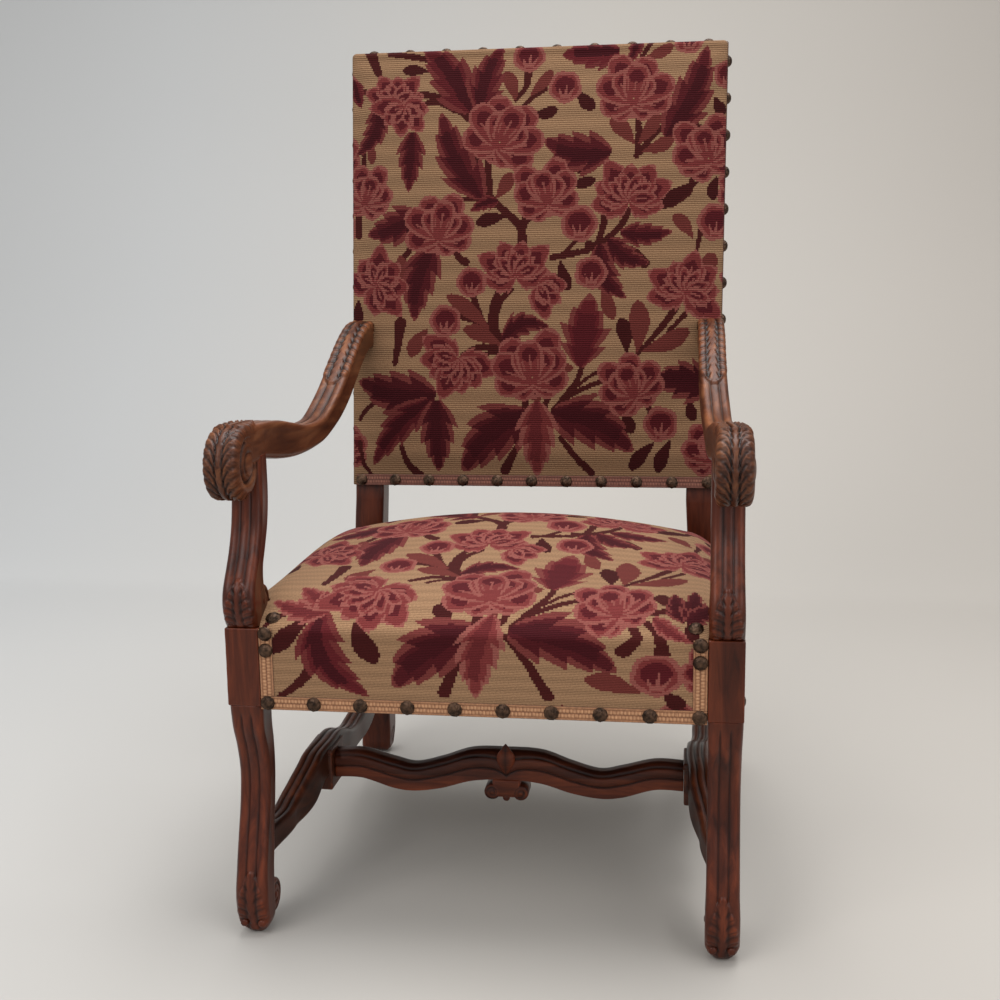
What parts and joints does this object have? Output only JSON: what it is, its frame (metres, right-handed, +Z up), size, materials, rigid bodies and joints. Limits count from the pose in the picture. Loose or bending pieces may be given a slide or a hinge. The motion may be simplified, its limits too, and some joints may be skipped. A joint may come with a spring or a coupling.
{
  "type": "upholstered high-back armchair",
  "caption": "High-back upholstered armchair with S-curved carved legs, scrolled arms and an H-shaped stretcher; padded seat and back in floral tapestry, edged with gimp and nail heads.",
  "frame": {"origin": "on the floor, under the middle of the bounding box of the chair", "axes": "+X to the right of someone who looks at the front of the chair, +Y from the front to the back, +Z up"},
  "size_m": [0.644, 0.7494, 1.1777],
  "materials": {
    "walnut": "waxed dark walnut, carved and reeded",
    "pale_walnut": "waxed walnut, worn paler by hands",
    "beech": "plain sawn beech, unfinished",
    "tapestry": "woven tapestry with a floral pattern on a tan ground",
    "lining": "plain dark cotton lining",
    "hessian": "coarse jute hessian",
    "webbing": "woven jute webbing",
    "stuffing": "curled hair and felt",
    "gimp": "braided tan gimp with faceted dark bronze nail heads",
    "steel": "plain drawn spring wire"
  },
  "bodies": {
    "root": {"front_leg_left": "walnut", "arm_support_left": "walnut", "armrest_left": "pale_walnut", "rear_leg_left": "walnut", "side_stretcher_left": "walnut", "side_seat_rail_left": "beech", "front_leg_right": "walnut", "arm_support_right": "walnut", "armrest_right": "pale_walnut", "rear_leg_right": "walnut", "side_stretcher_right": "walnut", "side_seat_rail_right": "beech", "cross_stretcher": "walnut", "front_seat_rail": "beech", "rear_seat_rail": "beech", "corner_block_front_left": "beech", "corner_block_front_right": "beech", "corner_block_rear_left": "beech", "corner_block_rear_right": "beech", "back_bottom_rail": "beech", "back_top_rail": "beech", "seat_strap_along_1": "webbing", "seat_strap_along_2": "webbing", "seat_strap_along_3": "webbing", "seat_strap_across_1": "webbing", "seat_strap_across_2": "webbing", "seat_strap_across_3": "webbing", "seat_spring_front_left": "steel", "seat_spring_front_right": "steel", "seat_spring_rear_left": "steel", "seat_spring_rear_right": "steel", "seat_cover": "tapestry", "seat_stuffing": "stuffing", "seat_hessian": "hessian", "seat_dust_cover": "lining", "back_strap_up_1": "webbing", "back_strap_up_2": "webbing", "back_strap_across_1": "webbing", "back_strap_across_2": "webbing", "back_strap_across_3": "webbing", "back_hessian": "hessian", "back_cover": "tapestry", "back_stuffing": "stuffing", "back_outer_cover": "lining", "seat_gimp_front": "gimp", "seat_gimp_post_left": "gimp", "seat_gimp_post_right": "gimp", "seat_gimp_side_left": "gimp", "seat_gimp_side_right": "gimp", "back_gimp_bottom": "gimp", "back_gimp_left": "gimp", "back_gimp_right": "gimp", "back_gimp_top": "gimp"}
  },
  "joints": []
}
